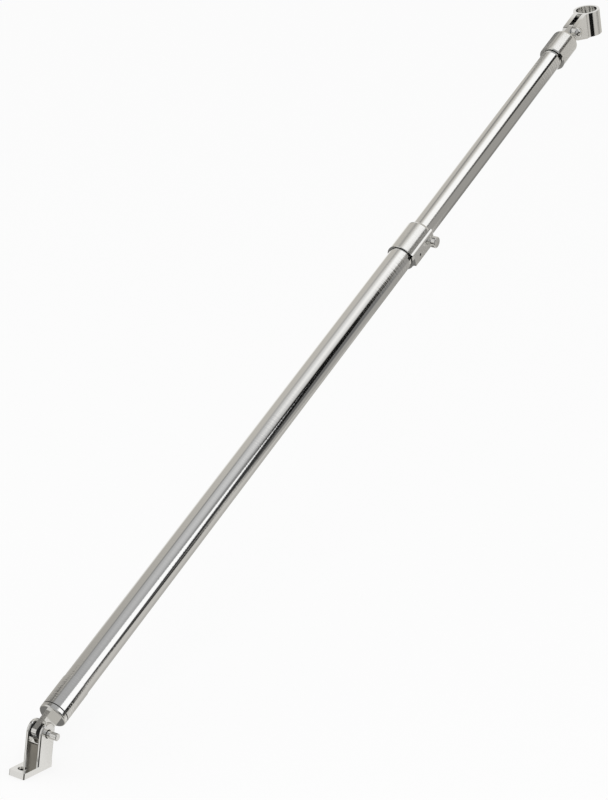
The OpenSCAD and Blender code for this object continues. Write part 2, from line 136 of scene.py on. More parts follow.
class Bench:
    """Modelling steps that every piece shares. Each works on the active object, as by hand."""

    @staticmethod
    def clear() -> None:
        """Leaves edit mode and deselects everything."""
        if bpy.context.object and bpy.context.object.mode != "OBJECT":
            bpy.ops.object.mode_set(mode="OBJECT")
        bpy.ops.object.select_all(action="DESELECT")

    @staticmethod
    def only(piece: bpy.types.Object) -> None:
        """Selects one piece alone and makes it active.

        Args:
            piece: the piece.
        """
        Bench.clear()
        piece.select_set(True)
        bpy.context.view_layer.objects.active = piece

    @staticmethod
    def turned(name: str, outline: Outline, closed: bool = False, sides: int = ROUND) -> bpy.types.Object:
        """Turns an outline of (radius, height) about z, as on a lathe.

        Args:
            name: the piece's name.
            outline: the points to turn, from the inside out or from end to end.
            closed: True for a wall that ends where it starts, False for a solid that is capped at both ends.
            sides: how many sides the round has.

        Returns:
            The piece, drawn about the z axis.
        """
        Bench.clear()
        first_r, first_z = outline[0]
        bpy.ops.mesh.primitive_circle_add(vertices=sides, radius=first_r * MM, location=(0, 0, 0), fill_type="NOTHING")
        piece = bpy.context.object
        piece.name = name
        bpy.ops.object.mode_set(mode="EDIT")
        bpy.ops.mesh.select_all(action="SELECT")
        bpy.ops.transform.translate(value=(0, 0, first_z * MM))
        path = outline + outline[:1] if closed else outline
        for (r_from, z_from), (r_to, z_to) in zip(path, path[1:]):
            bpy.ops.mesh.extrude_region_move(TRANSFORM_OT_translate={"value": (0, 0, (z_to - z_from) * MM)})
            grow = r_to / r_from
            bpy.ops.transform.resize(value=(grow, grow, 1), center_override=(0, 0, z_to * MM))
        if not closed:
            bpy.ops.mesh.edge_face_add()
            bpy.ops.mesh.select_all(action="DESELECT")
            bpy.ops.mesh.select_mode(type="VERT")
            bpy.ops.mesh.select_non_manifold()
            bpy.ops.mesh.edge_face_add()
        Bench.close()
        return piece

    @staticmethod
    def drawn(name: str, outline: Outline, low: float, high: float) -> bpy.types.Object:
        """Draws an outline point by point in the xy plane and extrudes it along z.

        Args:
            name: the piece's name.
            outline: the corner points of (x, y), each once.
            low: height of the lower face.
            high: height of the upper face.

        Returns:
            The slab.
        """
        Bench.clear()
        bpy.ops.mesh.primitive_plane_add(size=MM, location=(0, 0, 0))
        piece = bpy.context.object
        piece.name = name
        bpy.ops.object.mode_set(mode="EDIT")
        bpy.ops.mesh.select_mode(type="VERT")
        bpy.ops.mesh.select_all(action="SELECT")
        bpy.ops.mesh.merge(type="CENTER")
        x, y = outline[0]
        bpy.ops.transform.translate(value=(x * MM, y * MM, low * MM))
        for (x_from, y_from), (x_to, y_to) in zip(outline, outline[1:]):
            step = ((x_to - x_from) * MM, (y_to - y_from) * MM, 0)
            bpy.ops.mesh.extrude_region_move(TRANSFORM_OT_translate={"value": step})
        bpy.ops.mesh.select_all(action="SELECT")
        bpy.ops.mesh.edge_face_add()
        bpy.ops.mesh.select_all(action="SELECT")
        bpy.ops.mesh.extrude_region_move(TRANSFORM_OT_translate={"value": (0, 0, (high - low) * MM)})
        Bench.close()
        return piece

    @staticmethod
    def close() -> None:
        """Merges doubles, turns the faces outwards and leaves edit mode."""
        bpy.ops.mesh.select_all(action="SELECT")
        bpy.ops.mesh.remove_doubles(threshold=MM * 0.002)
        bpy.ops.mesh.normals_make_consistent(inside=False)
        bpy.ops.object.mode_set(mode="OBJECT")

    @staticmethod
    def moved(piece: bpy.types.Object, place: Matrix) -> bpy.types.Object:
        """Carries a piece to a place and writes that place into its mesh.

        Args:
            piece: the piece.
            place: where to, in metres.

        Returns:
            The piece.
        """
        Bench.only(piece)
        piece.matrix_world = place @ piece.matrix_world
        bpy.ops.object.transform_apply(location=True, rotation=True, scale=True)
        return piece

    @staticmethod
    def joined(piece: bpy.types.Object, tool: bpy.types.Object, operation: str) -> bpy.types.Object:
        """Applies a Boolean of a tool on a piece, and removes the tool.

        Args:
            piece: the piece that stays.
            tool: the piece that is used up.
            operation: UNION, DIFFERENCE or INTERSECT.

        Returns:
            The piece.
        """
        Bench.only(piece)
        step = piece.modifiers.new("step", "BOOLEAN")
        step.operation = operation
        step.solver = "EXACT"
        step.object = tool
        bpy.ops.object.modifier_apply(modifier=step.name)
        bpy.data.objects.remove(tool)
        return piece

    @staticmethod
    def drilled(piece: bpy.types.Object, radius: float, place: Matrix, depth: float) -> bpy.types.Object:
        """Drills a round hole along a frame's z axis, from its origin to a depth, given in millimetres."""
        drill = Bench.turned("drill", [(radius, 0), (radius, depth)], sides=FINE)
        return Bench.joined(piece, Bench.moved(drill, place), "DIFFERENCE")

    @staticmethod
    def bevelled(piece: bpy.types.Object, width: float, steps: int = 3, angle: float = 32) -> bpy.types.Object:
        """Rounds a piece's sharp edges.

        Args:
            piece: the piece.
            width: width of the rounding, in millimetres.
            steps: segments of the rounding.
            angle: edges sharper than this are rounded, in degrees.

        Returns:
            The piece.
        """
        Bench.only(piece)
        soft = piece.modifiers.new("soft", "BEVEL")
        soft.width = width * MM
        soft.segments = steps
        soft.limit_method = "ANGLE"
        soft.angle_limit = math.radians(angle)
        soft.use_clamp_overlap = True
        bpy.ops.object.modifier_apply(modifier=soft.name)
        return piece

    @staticmethod
    def smoothed(piece: bpy.types.Object, angle: float = 32) -> bpy.types.Object:
        """Shades a piece smooth, with flat faces that stay flat.

        Args:
            piece: the piece.
            angle: edges sharper than this stay sharp, in degrees.

        Returns:
            The piece.
        """
        Bench.only(piece)
        bpy.ops.object.shade_smooth_by_angle(angle=math.radians(angle))
        flat = piece.modifiers.new("flat", "WEIGHTED_NORMAL")
        flat.keep_sharp = True
        flat.weight = 80
        bpy.ops.object.modifier_apply(modifier=flat.name)
        return piece


class Socket:
    """An output socket of a shader node, or a number, that takes part in sums written as Python."""

    def __init__(self, kit: "Shader", value: object) -> None:
        """Keeps the shader that new nodes go to, and the socket or number."""
        self.kit = kit
        self.value = value

    def _with(self, operation: str, other: object, swap: bool = False) -> "Socket":
        """Adds a Math node.

        Args:
            operation: the Math node's operation.
            other: a Socket or a number.
            swap: True where the other one comes first.

        Returns:
            The node's result.
        """
        other = other.value if isinstance(other, Socket) else other
        pair = [other, self.value] if swap else [self.value, other]
        return self.kit.node("ShaderNodeMath", {"operation": operation}, pair)

    def __add__(self, other: object) -> "Socket":
        """Returns the sum."""
        return self._with("ADD", other)

    def __radd__(self, other: object) -> "Socket":
        """Returns the sum."""
        return self._with("ADD", other, True)

    def __sub__(self, other: object) -> "Socket":
        """Returns the difference."""
        return self._with("SUBTRACT", other)

    def __rsub__(self, other: object) -> "Socket":
        """Returns the other less this one."""
        return self._with("SUBTRACT", other, True)

    def __mul__(self, other: object) -> "Socket":
        """Returns the product."""
        return self._with("MULTIPLY", other)

    def __rmul__(self, other: object) -> "Socket":
        """Returns the product."""
        return self._with("MULTIPLY", other, True)

    def __truediv__(self, other: object) -> "Socket":
        """Returns the quotient."""
        return self._with("DIVIDE", other)

    def least(self, other: object) -> "Socket":
        """Returns the smaller of the two."""
        return self._with("MINIMUM", other)

    def most(self, other: object) -> "Socket":
        """Returns the larger of the two."""
        return self._with("MAXIMUM", other)

    def rise(self, low: object, high: object) -> "Socket":
        """Adds a smooth step.

        Args:
            low: the value up to which it is 0.
            high: the value from which it is 1.

        Returns:
            The step.
        """
        low = low.value if isinstance(low, Socket) else low
        high = high.value if isinstance(high, Socket) else high
        settings = {"interpolation_type": "SMOOTHSTEP"}
        return self.kit.node("ShaderNodeMapRange", settings, [self.value, low, high, 0.0, 1.0])


class Shader:
    """Builds the node tree of one material or world."""

    def __init__(self, owner: bpy.types.ID) -> None:
        """Empties the owner's tree.

        Args:
            owner: the material or world.
        """
        owner.use_nodes = True
        self.tree = owner.node_tree
        self.tree.nodes.clear()

    def node(self, kind: str, settings: Optional[dict] = None, inputs: object = (), output: object = 0) -> Socket:
        """Adds a node.

        Args:
            kind: the node's type.
            settings: its properties, or the stops of a ramp as (place, colour) pairs.
            inputs: values or Sockets, as a list in the order of its sockets or a dict by socket name.
            output: name or number of the output that is wanted.

        Returns:
            That output.
        """
        made = self.tree.nodes.new(kind)
        for name, value in (settings or {}).items():
            if name == "stops":
                while len(made.color_ramp.elements) < len(value):
                    made.color_ramp.elements.new(1.0)
                for stop, (place, colour) in zip(made.color_ramp.elements, value):
                    stop.position, stop.color = place, (*colour, 1.0)
            else:
                setattr(made, name, value)
        pairs = inputs.items() if isinstance(inputs, dict) else enumerate(inputs)
        for key, value in pairs:
            value = value.value if isinstance(value, Socket) else value
            if isinstance(value, bpy.types.NodeSocket):
                self.tree.links.new(value, made.inputs[key])
            elif value is not None:
                made.inputs[key].default_value = value
        return Socket(self, made.outputs[output]) if made.outputs else Socket(self, None)

    def dot(self, vector: Socket, axis: Sequence[float]) -> Socket:
        """Returns the dot product of a vector socket and a fixed axis."""
        return self.node("ShaderNodeVectorMath", {"operation": "DOT_PRODUCT"}, [vector, tuple(axis)], "Value")

    def mix(self, factor: object, first: object, second: object) -> Socket:
        """Blends two colours.

        Args:
            factor: a number or a Socket, 0 for the first and 1 for the second.
            first: a colour or a Socket.
            second: a colour or a Socket.

        Returns:
            The blend.
        """
        made = self.tree.nodes.new("ShaderNodeMix")
        made.data_type, made.clamp_factor = "RGBA", True
        for socket, value in ((made.inputs[0], factor), (made.inputs[6], first), (made.inputs[7], second)):
            value = value.value if isinstance(value, Socket) else value
            if isinstance(value, bpy.types.NodeSocket):
                self.tree.links.new(value, socket)
            elif isinstance(value, (int, float)):
                socket.default_value = value
            else:
                socket.default_value = (*value, 1.0)
        return Socket(self, made.outputs[2])


SCREEN_GAIN = 1.03
SCREEN_GAMMA = 2.2


def pale(display: float, warmth: float = 0.0) -> tuple[float, float, float]:
    """A grey as a screen shows it, as linear light.

    Args:
        display: its brightness on the screen, from 0 to 1.
        warmth: how much blue it lacks, as a share.

    Returns:
        Linear red, green and blue.
    """
    linear = (display * SCREEN_GAIN) ** SCREEN_GAMMA
    return (linear * (1 + warmth / 2), linear, linear * (1 - warmth))


@dataclass(frozen=True)
class Finish:
    """A surface finish: how it is coloured, how it shines and how fine its marks are."""

    slot: Slot
    tint: tuple[float, float, float]
    metal: float = 1.0
    roughness: float = 0.08
    smear: float = 0.05
    mark_scale: float = 900.0
    mark_depth: float = 0.02
    wave_scale: float = 40.0
    wave_depth: float = 0.0
    along: Optional[Vector] = None
    rough_base: float = 0.75
    rough_smears: float = 0.3
    rough_marks: float = 0.2

    def made(self, name: str) -> bpy.types.Material:
        """Makes the finish a material of its own.

        Args:
            name: the material's name.

        Returns:
            The material.
        """
        material = bpy.data.materials.new(name)
        kit = Shader(material)
        place = kit.node("ShaderNodeTexCoord", output="Object")
        if self.along is not None:
            height = kit.dot(place, self.along)
            marks_at = kit.node("ShaderNodeCombineXYZ", inputs=[height * self.mark_scale, 0.0, 0.0])
        else:
            marks_at = kit.node("ShaderNodeVectorMath", {"operation": "SCALE"}, {0: place, "Scale": self.mark_scale})
        grain = {"Vector": marks_at, "Scale": 1.0, "Detail": 4.0, "Roughness": 0.6}
        marks = kit.node("ShaderNodeTexNoise", inputs=grain)
        smears = kit.node("ShaderNodeTexNoise", inputs={"Vector": place, "Scale": self.wave_scale, "Detail": 3.0})
        tone = kit.mix(smears, tuple(c * (1 - self.smear) for c in self.tint), self.tint)
        rough = self.roughness * (self.rough_base + smears * self.rough_smears + marks * self.rough_marks)
        bump = kit.node("ShaderNodeBump", inputs={"Strength": 1.0, "Distance": self.mark_depth * MM, "Height": marks})
        if self.wave_depth:
            inputs = {"Strength": 1.0, "Distance": self.wave_depth * MM, "Height": smears, "Normal": bump}
            bump = kit.node("ShaderNodeBump", inputs=inputs)
        shine = {"Base Color": tone, "Metallic": self.metal, "Roughness": rough, "Normal": bump}
        surface = kit.node("ShaderNodeBsdfPrincipled", inputs=shine)
        kit.node("ShaderNodeOutputMaterial", inputs={"Surface": surface})
        return material


@dataclass(frozen=True)
class Panel:
    """A reflector or a flag of the studio, given where the polished pole mirrors it.

    The sides are places across the pole, from -1 at its left edge to 1 at its right edge, each at the panel's lower and
    upper end. The ends are heights up the pole in metres. Low and high are the brightness at the ends as a screen shows
    it, and the blurs are half the widths of the soft edges, in the sides' and the ends' own units.
    """

    left: Point
    right: Point
    ends: Point
    low: float
    high: float
    blur: Point = (0.03, 0.03)
    end_blur: Point = (0.02, 0.02)
    warmth: float = 0.0


def straight(left: float, right: float, *rest: object, **soft: object) -> Panel:
    """Returns a panel whose sides are as far across the pole at both of its ends."""
    return Panel((left, left), (right, right), *rest, **soft)


class Studio:
    """Floor, soft light and the reflectors round the pole.

    A direction is turned into a place across the pole and a height up it, as the pole mirrors them for the camera.
    Reach and start are the heights' scale and offset in metres, and turn is the offset across the pole.
    """

    front = (0.573, -0.427, 0.6996)
    reach = 2.1174
    start = 1.0541
    turn = 0.035
    tiny = 0.000001
    ambient = 0.92
    wall = (0.63, 0.71)
    wall_span = (0.05, 0.40)
    wall_warmth = 0.08
    floor_size = 60
    floor_z = -0.0005
    floor_tone = 0.9
    floor_glow = 0.8
    lamp_at = (1.2, -1.6, 2.2)
    lamp_to = (0.0, 0.4, 0.3)
    lamp_size = 1.2
    lamp_energy = 12
    panels = (
        # the lit wall behind the camera, brighter towards the top
        straight(-0.53, 0.12, (-9.0, 0.40), 0.62, 0.62, (0.04, 0.05), (0.03, 0.03)),
        straight(-0.53, 0.12, (0.06, 0.40), 0.61, 0.69, (0.04, 0.05), (0.05, 0.03)),
        straight(-0.38, -0.08, (0.04, 0.40), 0.65, 0.80, (0.14, 0.12), (0.05, 0.03)),
        Panel((-0.49, -0.49), (0.06, 0.07), (0.39, 0.62), 0.75, 0.82, (0.06, 0.05), (0.02, 0.03), 0.01),
        Panel((-0.34, -0.34), (-0.11, -0.07), (0.39, 0.64), 0.90, 0.96, (0.14, 0.13), (0.02, 0.03), 0.02),
        # the far wall on the right, with a slanting edge
        straight(0.45, 3.0, (-9.0, 1.30), 0.73, 0.73, warmth=0.06),
        Panel((0.50, 0.50), (0.64, 0.92), (0.32, 0.56), 0.60, 0.60, (0.03, 0.025), warmth=0.06),
        Panel((0.60, 0.88), (0.65, 0.93), (0.32, 0.56), 0.57, 0.57, (0.03, 0.025), warmth=0.06),
        Panel((0.40, 0.40), (0.94, 1.50), (0.555, 0.75), 0.60, 0.58, (0.03, 0.02), (0.015, 0.02), 0.06),
        straight(0.24, 3.0, (0.62, 0.985), 0.57, 0.58, (0.03, 0.05), (0.02, 0.012), 0.06),
        straight(0.66, 0.93, (0.645, 0.70), 0.68, 0.68, end_blur=(0.01, 0.01), warmth=0.06),
        straight(0.24, 3.0, (0.985, 1.30), 0.77, 0.77, (0.03, 0.05), (0.012, 0.02), 0.06),
        straight(0.82, 3.0, (0.03, 0.56), 0.67, 0.67, (0.05, 0.05), (0.01, 0.02), 0.06),
        straight(0.80, 3.0, (0.70, 0.94), 0.49, 0.49, (0.04, 0.05), (0.01, 0.02), 0.06),
        Panel((1.03, 0.91), (3.0, 3.0), (0.68, 0.95), 0.95, 0.95, (0.04, 0.05)),
        straight(0.93, 3.0, (0.95, 1.30), 0.95, 0.95, (0.03, 0.05)),
        # the white screen above
        straight(-0.38, 0.13, (0.625, 0.70), 0.98, 0.98, (0.12, 0.08), warmth=0.01),
        Panel((-0.34, -0.49), (0.12, 0.03), (0.69, 0.96), 0.98, 0.98, (0.15, 0.07), warmth=0.01),
        straight(-0.52, 0.05, (0.95, 1.08), 0.99, 0.99, (0.13, 0.05)),
        # soft dark lines on the left
        straight(-0.57, -0.49, (-9.0, 0.36), 0.53, 0.53, end_blur=(0.02, 0.04), warmth=0.03),
        straight(-0.62, -0.52, (0.36, 0.66), 0.64, 0.64, (0.04, 0.04), (0.05, 0.03), 0.03),
        Panel((-0.60, -0.84), (-0.50, -0.72), (0.66, 0.97), 0.53, 0.44, (0.06, 0.07), (0.03, 0.02), 0.03),
        straight(-1.10, -0.80, (0.97, 1.30), 0.43, 0.43, (0.02, 0.06), warmth=0.03),
        straight(-0.70, -0.64, (0.97, 1.30), 0.55, 0.55, (0.04, 0.03), warmth=0.03),
        straight(-3.0, -0.97, (0.10, 0.80), 0.88, 0.98, (0.05, 0.05), (0.10, 0.15), 0.02),
        # black flags, and the bright wedge between them
        Panel((0.02, 0.00), (0.18, 0.16), (0.17, 0.37), 0.58, 0.50, (0.04, 0.04), (0.05, 0.03)),
        Panel((0.09, 0.09), (0.48, 0.35), (0.355, 0.622), 0.09, 0.10, (0.06, 0.04), (0.02, 0.006)),
        Panel((0.47, 0.35), (0.58, 0.58), (0.34, 0.627), 0.33, 0.44, (0.04, 0.05), (0.03, 0.01)),
        straight(0.20, 0.46, (-9.0, 0.09), 0.25, 0.25, (0.03, 0.05), (0.02, 0.01)),
        Panel((0.20, 0.20), (0.47, 0.53), (0.07, 0.38), 0.24, 0.22, (0.03, 0.05), (0.01, 0.02)),
        Panel((0.44, 0.52), (0.54, 0.63), (0.08, 0.27), 0.17, 0.17, end_blur=(0.04, 0.02)),
        Panel((0.13, 0.05), (0.25, 0.235), (0.66, 0.86), 0.52, 0.28, end_blur=(0.04, 0.001), warmth=0.04),
        Panel((0.05, -0.01), (0.235, 0.20), (0.859, 0.98), 0.28, 0.0, end_blur=(0.001, 0.01), warmth=0.04),
        straight(-0.01, 0.19, (0.97, 1.08), 0.0, 0.0, (0.02, 0.02), (0.01, 0.02), 0.04),
        Panel((-0.95, -0.85), (-0.63, -0.69), (0.0215, 0.034), 0.28, 0.40, (0.05, 0.04), (0.002, 0.004), 0.04),
        Panel((-0.80, -0.77), (-0.69, -0.66), (0.031, 0.045), 0.15, 0.05, (0.03, 0.02), (0.002, 0.0005), 0.04),
        Panel((-0.77, -0.50), (-0.66, -0.46), (0.045, 0.054), 0.05, 0.05, (0.02, 0.02), (0.0005, 0.001), 0.04),
        straight(0.41, 0.60, (-0.10, 0.0525), 0.08, 0.08, end_blur=(0.02, 0.002)),
        Panel((-0.16, 0.105), (0.45, 0.375), (-0.30, 0.18), 1.0, 1.0, end_blur=(0.01, 0.001)),
        Panel((0.105, 0.23), (0.375, 0.23), (0.179, 0.415), 1.0, 1.0, end_blur=(0.001, 0.01)),
        # the hinge's dark side, which the flange and the sleeve's end mirror
        straight(0.88, 3.0, (-3.2, -1.3), 0.44, 0.44, end_blur=(0.20, 0.20), warmth=0.04),
        straight(-3.0, -0.98, (-3.2, -1.3), 0.44, 0.44, (0.03, 0.02), (0.20, 0.20), 0.04),
        # what only the flat faces of the foot and the ring see: dark doorway, bright floor and ceiling
        straight(0.45, 0.66, (-3.30, -1.50), 0.05, 0.05, (0.02, 0.03), (0.10, 0.10)),
        straight(0.25, 0.455, (-8.0, -2.60), 0.05, 0.05, (0.03, 0.01), (0.30, 0.10)),
        straight(0.56, 0.68, (-1.60, -0.95), 0.05, 0.05, (0.02, 0.03), (0.05, 0.08)),
        straight(-3.0, -0.80, (-9.0, -3.8), 0.84, 0.84, (0.02, 0.03), (0.20, 0.20), 0.03),
        straight(-0.84, -0.53, (-3.4, -0.8), 0.80, 0.80, (0.02, 0.03), (0.20, 0.20), 0.03),
        straight(-3.0, -0.78, (1.50, 3.60), 0.86, 0.86, (0.02, 0.03), (0.15, 0.20), 0.03),
        straight(-0.72, -0.52, (-0.50, 0.018), 0.36, 0.36, (0.04, 0.03), (0.05, 0.003), 0.03),
        straight(0.72, 0.90, (-0.50, 0.018), 0.87, 0.87, (0.02, 0.03), (0.05, 0.003), 0.03),
    )

    def build(self, up_pole: Vector) -> None:
        """Makes the whole studio.

        Args:
            up_pole: the pole's axis.
        """
        bpy.context.scene.view_settings.view_transform = "Standard"
        self.floor()
        self.lamp()
        self.world(up_pole, Vector(self.front))

    def floor(self) -> None:
        """Lays a wide pale floor that keeps the pole's shadow and stays out of its reflections."""
        Bench.clear()
        bpy.ops.mesh.primitive_plane_add(size=self.floor_size, location=(0, 0, self.floor_z))
        floor = bpy.context.object
        floor.name = "floor"
        material = bpy.data.materials.new("floor")
        kit = Shader(material)
        seen = kit.node("ShaderNodeLightPath", output="Is Camera Ray")
        matt = kit.node("ShaderNodeBsdfDiffuse", inputs={"Color": (*(self.floor_tone,) * 3, 1.0)})
        glow = kit.node("ShaderNodeEmission", inputs={"Color": (1.0, 1.0, 1.0, 1.0), "Strength": 1.0})
        both = kit.node("ShaderNodeMixShader", inputs=[seen * self.floor_glow, matt, glow])
        kit.node("ShaderNodeOutputMaterial", inputs={"Surface": both})
        floor.data.materials.append(material)
        floor.visible_glossy = False

    def lamp(self) -> None:
        """Adds one broad soft lamp for the parts that aren't polished."""
        Bench.clear()
        bpy.ops.object.light_add(type="AREA", location=self.lamp_at)
        lamp = bpy.context.object
        lamp.name = "key"
        lamp.data.shape = "DISK"
        lamp.data.size = self.lamp_size
        lamp.data.energy = self.lamp_energy
        lamp.visible_glossy = False
        lamp.rotation_euler = (Vector(self.lamp_to) - lamp.location).to_track_quat("-Z", "Y").to_euler()

    def world(self, up_pole: Vector, to_front: Vector) -> None:
        """Lights the scene from all round, with the panels where the polished pole mirrors them.

        Args:
            up_pole: the pole's axis.
            to_front: the direction that the middle of the pole mirrors, square to its axis.
        """
        world = bpy.data.worlds.new("studio")
        bpy.context.scene.world = world
        kit = Shader(world)
        look = kit.node("ShaderNodeTexCoord", output="Generated")
        aside = up_pole.cross(to_front)
        ahead, across, along = kit.dot(look, to_front), kit.dot(look, aside), kit.dot(look, up_pole)
        flat = kit.node("ShaderNodeMath", {"operation": "SQRT"}, [(ahead * ahead + across * across).most(self.tiny)])
        half = kit.node("ShaderNodeMath", {"operation": "SQRT"}, [((1 - ahead / flat) * 0.5).most(0.0)])
        place = half * kit.node("ShaderNodeMath", {"operation": "SIGN"}, [across]) - self.turn
        height = (along / flat) * self.reach - self.start
        low, high = (pale(tone, self.wall_warmth) for tone in self.wall)
        colour = kit.mix(height.rise(*self.wall_span), low, high)
        for panel in self.panels:
            colour = self._laid(kit, colour, panel, place, height)
        path = kit.tree.nodes.new("ShaderNodeLightPath")
        glossy = Socket(kit, path.outputs["Is Glossy Ray"])
        camera = Socket(kit, path.outputs["Is Camera Ray"])
        lit = kit.mix(glossy, (self.ambient,) * 3, colour)
        shown = kit.mix(camera, lit, (1.0, 1.0, 1.0))
        glow = kit.node("ShaderNodeBackground", inputs={"Color": shown, "Strength": 1.0})
        kit.node("ShaderNodeOutputWorld", inputs={"Surface": glow})

    @staticmethod
    def _laid(kit: Shader, under: Socket, panel: Panel, place: Socket, height: Socket) -> Socket:
        """Lays one panel over what is already there.

        Args:
            kit: the world's shader.
            under: the colour so far.
            panel: the panel.
            place: place across the pole, as a socket.
            height: height up the pole, as a socket.

        Returns:
            The colour with the panel.
        """
        low, high = panel.ends
        share = ((height - low) / (high - low)).most(0.0).least(1.0)
        left = share * (panel.left[1] - panel.left[0]) + panel.left[0]
        right = share * (panel.right[1] - panel.right[0]) + panel.right[0]
        inside = place.rise(left - panel.blur[0], left + panel.blur[0])
        inside = inside * (1 - place.rise(right - panel.blur[1], right + panel.blur[1]))
        inside = inside * height.rise(low - panel.end_blur[0], low + panel.end_blur[0])
        inside = inside * (1 - height.rise(high - panel.end_blur[1], high + panel.end_blur[1]))
        tone = kit.mix(share, pale(panel.low, panel.warmth), pale(panel.high, panel.warmth))
        return kit.mix(inside, under, tone)


@dataclass(frozen=True)
class Viewpoint:
    """The camera of the photograph, in the part's frame."""

    location: tuple[float, float, float] = (1.21349, -1.78231, 0.96483)
    azimuth: float = 28.9557
    elevation: float = 15.8540
    roll: float = 6.7544
    lens: float = 124.304
    sensor: float = 36.0
    clip: Point = (0.05, 100.0)

    def camera(self) -> bpy.types.Object:
        """Makes the scene's camera.

        Returns:
            The camera.
        """
        Bench.clear()
        bpy.ops.object.camera_add(location=self.location)
        camera = bpy.context.object
        turn = Matrix.Rotation(math.radians(self.azimuth), 4, "Z")
        tip = Matrix.Rotation(math.radians(90 - self.elevation), 4, "X")
        lean = Matrix.Rotation(math.radians(self.roll), 4, "Z")
        camera.matrix_world = Matrix.Translation(self.location) @ turn @ tip @ lean
        camera.data.lens = self.lens
        camera.data.sensor_width = self.sensor
        camera.data.clip_start, camera.data.clip_end = self.clip
        bpy.context.scene.camera = camera
        return camera


@dataclass(frozen=True)
class Frames:
    """The frames that the sub-assemblies are drawn in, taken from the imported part's joints and mounts."""

    foot: Matrix
    pole: Matrix
    inner: Matrix
    ring: Matrix

    @staticmethod
    def of(frame: dict) -> "Frames":
        """Works the frames out from a loaded part.


        Returns:
            The frames.
        """
        joints = {j["name"]: j for j in frame["joints"]}
        mounts = {m["name"]: m for m in frame["record"]["mounts"]}
        pivot = Vector(joints["foot_tilt"]["pos_m"])
        across = Vector(joints["foot_tilt"]["axis"]).normalized()
        up = Vector(joints["pole_extend"]["axis"]).normalized()
        eye = Vector(joints["ring_tilt"]["pos_m"])
        eye_across = Vector(joints["ring_tilt"]["axis"]).normalized()
        bore = Vector(mounts["rail_bore"]["axis"]).normalized()
        return Frames(
            foot=Matrix.Translation((0, 0, 0)),
            pole=Frames._set(pivot, across, up),
            inner=Frames._set(pivot, eye_across, up),
            ring=Frames._set(eye, eye_across, eye_across.cross(-bore)),
        )

    @staticmethod
    def _set(origin: Vector, x: Vector, z: Vector) -> Matrix:
        """Sets a frame up from its origin and two axes.

        Args:
            origin: the frame's origin.
            x: its x axis.
            z: its z axis.

        Returns:
            The frame.
        """
        y = z.cross(x)
        turn = Matrix((x, y, z)).transposed().to_4x4()
        return Matrix.Translation(origin) @ turn


class Fitter:
    """Sets finished pieces down in the part's frame, in place of the CAD nodes that they stand for."""

    def __init__(self, frames: Frames, finishes: dict[str, Finish]) -> None:
        """Makes the materials.

        Args:
            frames: the frames of the sub-assemblies.
            finishes: the finishes by name.
        """
        self.frames = frames
        self.finishes = finishes
        self.materials = {name: finish.made(name) for name, finish in finishes.items()}

    def set_down(self, piece: bpy.types.Object, place: Matrix, body: str, node: str, finish: str) -> None:
        """Puts a finished piece where it belongs.

        Args:
            piece: the piece, drawn in its own frame.
            place: that frame in the part's frame.
            body: the body that it moves with.
            node: the CAD node that it replaces.
            finish: the name of its finish.
        """
        Bench.moved(piece, place)
        piece.data.materials.clear()
        piece.data.materials.append(self.materials[finish])
        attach(piece, body)
        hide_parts(node)
        LOG.info("%s: %d faces on %s", piece.name, len(piece.data.polygons), body)

    def painted(self, node: bpy.types.Object, finish: str) -> None:
        """Gives a CAD node that is shown as it is a finish.

        Args:
            node: the node.
            finish: the name of its finish.
        """
        node.data.materials.clear()
        node.data.materials.append(self.materials[finish])


